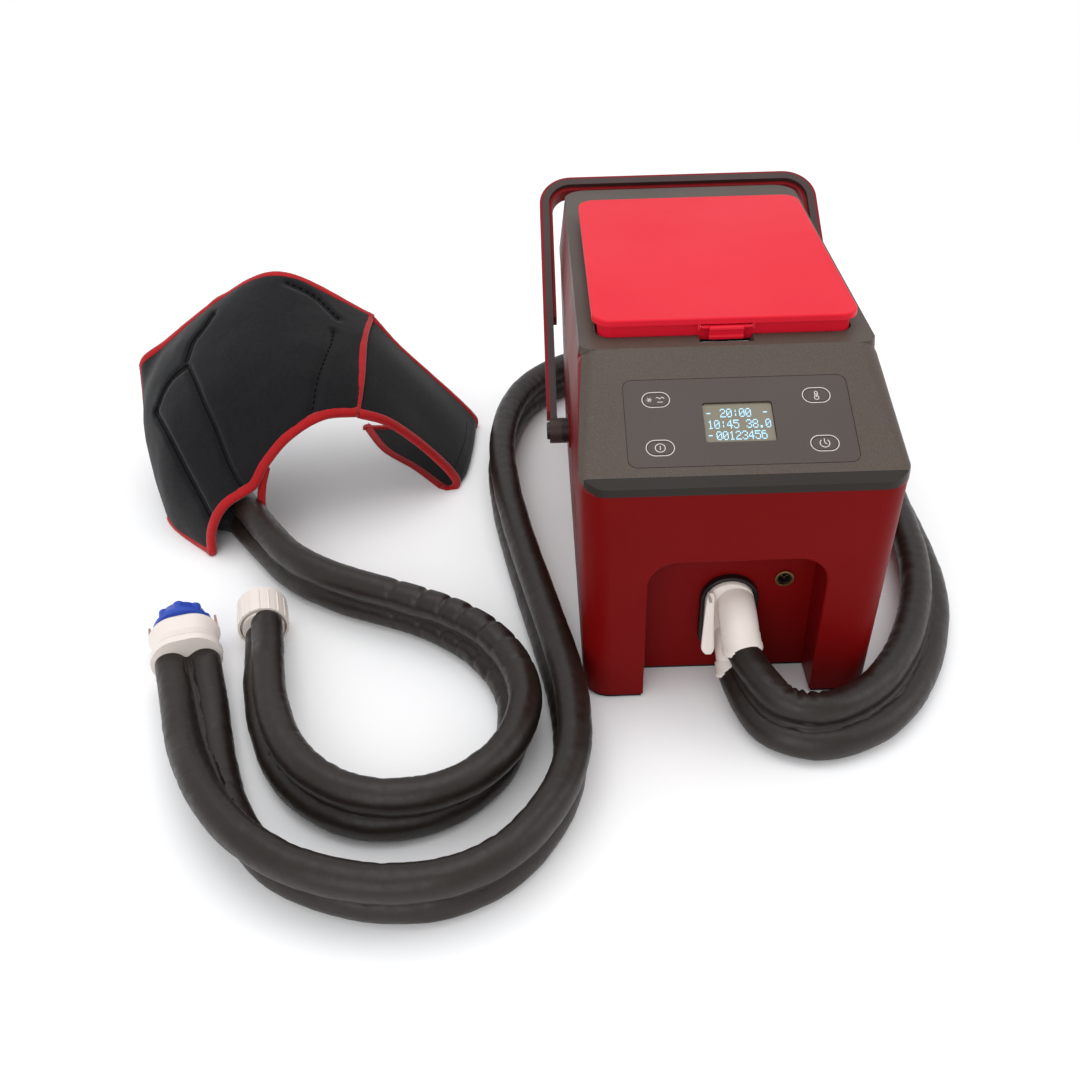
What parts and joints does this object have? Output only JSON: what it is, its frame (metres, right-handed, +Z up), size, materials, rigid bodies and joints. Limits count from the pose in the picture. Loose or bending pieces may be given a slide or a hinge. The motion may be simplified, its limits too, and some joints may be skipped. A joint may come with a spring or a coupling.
{
  "type": "hot cold therapy machine",
  "caption": "Boxy water-circulating hot and cold therapy unit with sloping control panel, hinged ice lid, bail handle, twin hoses with couplings and a padded shoulder wrap.",
  "frame": {"origin": "centre of the machine's footprint on the floor, at the underside of the rubber foot", "axes": "+Z up, -Y towards the sloping control panel and plug socket, +X to the right of somebody facing the controls; the wrap lies on the -X side"},
  "size_m": [0.6903, 0.6755, 0.237],
  "materials": {
    "housing_red": "fine matte",
    "cover_grey": "fine textured",
    "overlay_grey": "smooth satin",
    "key_grey": "smooth satin",
    "lid_red": "satin",
    "grip_red": "soft matte",
    "bail_grey": "satin",
    "foot_rubber": "matte",
    "dark_plastic": "satin",
    "steel": "satin",
    "brass": "satin",
    "window": "clear",
    "display": "backlit panel",
    "board_green": "solder mask",
    "tub_white": "smooth",
    "white_plastic": "satin",
    "blue_plastic": "satin",
    "aluminium": "milled",
    "silicone": "soft",
    "hose_sleeve": "coated fabric",
    "neoprene": "laminated neoprene"
  },
  "bodies": {
    "machine": {"housing": "housing_red", "base_plate": "dark_plastic", "base_screws": "steel", "case_screws": "steel", "foot_ring": "foot_rubber", "top_cover": "cover_grey", "control_overlay": "overlay_grey", "display_window": "window", "display_module": "display", "control_board": "board_green", "tact_switches": "board_green", "board_screws": "steel", "ice_tub": "tub_white", "tub_gasket": "foot_rubber", "lid_hinge_pin": "steel", "pivot_bosses": "bail_grey", "pivot_screws": "steel", "pivot_nuts": "steel", "socket_bezel": "dark_plastic", "socket_block": "dark_plastic", "plug_body": "white_plastic", "lever_pin": "steel", "jack_ring": "brass", "jack_insert": "dark_plastic", "jack_pins": "steel", "pump_motor": "dark_plastic", "pump_body": "dark_plastic", "heater_block": "aluminium", "tube_suction": "silicone", "tube_pressure": "silicone", "tube_supply": "silicone", "tube_return": "silicone", "machine_hose": "hose_sleeve", "connector_body": "white_plastic", "connector_clips": "steel", "wrap_hose": "hose_sleeve", "coupling_core": "white_plastic", "wrap_panel": "neoprene", "wrap_strap": "neoprene", "wrap_inlet": "neoprene"},
    "lid": {"lid": "lid_red", "lid_liner": "tub_white", "latch_pin": "steel"},
    "latch": {"lid_latch": "lid_red"},
    "handle": {"handle_bail": "bail_grey", "handle_grip": "grip_red"},
    "key_mode": {"key_mode": "key_grey"},
    "key_temperature": {"key_temperature": "key_grey"},
    "key_power": {"key_power": "key_grey"},
    "key_timer": {"key_timer": "key_grey"},
    "connector_collar": {"connector_collar": "blue_plastic"},
    "coupling_ring": {"coupling_ring": "white_plastic"},
    "impeller": {"pump_impeller": "tub_white"},
    "plug_lever": {"plug_lever": "white_plastic"}
  },
  "joints": [
    {"name": "lid_hinge", "type": "hinge", "parent": "machine", "child": "lid", "pos_m": [0, 0.143, 0.229], "axis": [-1, 0, 0], "range_deg": [0, 95]},
    {"name": "latch_pivot", "type": "hinge", "parent": "lid", "child": "latch", "pos_m": [0, -0.0816, 0.2304], "axis": [-1, 0, 0], "range_deg": [0, 15], "stiffness_Nm_per_rad": 0.02, "springref_deg": -8.59},
    {"name": "handle_swing", "type": "hinge", "parent": "machine", "child": "handle", "pos_m": [0, 0.0055, 0.1], "axis": [1, 0, 0], "range_deg": [0, 115]},
    {"name": "key_mode_press", "type": "slide", "parent": "machine", "child": "key_mode", "axis": [0, 0.3923, -0.9198], "range_m": [0, 0.0006], "stiffness_N_per_m": 900, "springref_m": -0.0006},
    {"name": "key_temperature_press", "type": "slide", "parent": "machine", "child": "key_temperature", "axis": [0, 0.3923, -0.9198], "range_m": [0, 0.0006], "stiffness_N_per_m": 900, "springref_m": -0.0006},
    {"name": "key_power_press", "type": "slide", "parent": "machine", "child": "key_power", "axis": [0, 0.3923, -0.9198], "range_m": [0, 0.0006], "stiffness_N_per_m": 900, "springref_m": -0.0006},
    {"name": "key_timer_press", "type": "slide", "parent": "machine", "child": "key_timer", "axis": [0, 0.3923, -0.9198], "range_m": [0, 0.0006], "stiffness_N_per_m": 900, "springref_m": -0.0006},
    {"name": "collar_turn", "type": "hinge", "parent": "machine", "child": "connector_collar", "pos_m": [-0.383, -0.165, 0.0226], "axis": [-0.2822, 0.9594, 0], "continuous": true},
    {"name": "ring_turn", "type": "hinge", "parent": "machine", "child": "coupling_ring", "pos_m": [-0.328, -0.16, 0.0191], "axis": [-0.2169, 0.9762, 0], "continuous": true},
    {"name": "impeller_spin", "type": "hinge", "parent": "machine", "child": "impeller", "pos_m": [-0.018, -0.01, 0.034], "axis": [1, 0, 0], "continuous": true},
    {"name": "lever_squeeze", "type": "hinge", "parent": "machine", "child": "plug_lever", "pos_m": [-0.014, -0.182, 0.076], "axis": [0, -1, 0], "range_deg": [0, 4], "stiffness_Nm_per_rad": 0.05, "springref_deg": -5.73}
  ]
}
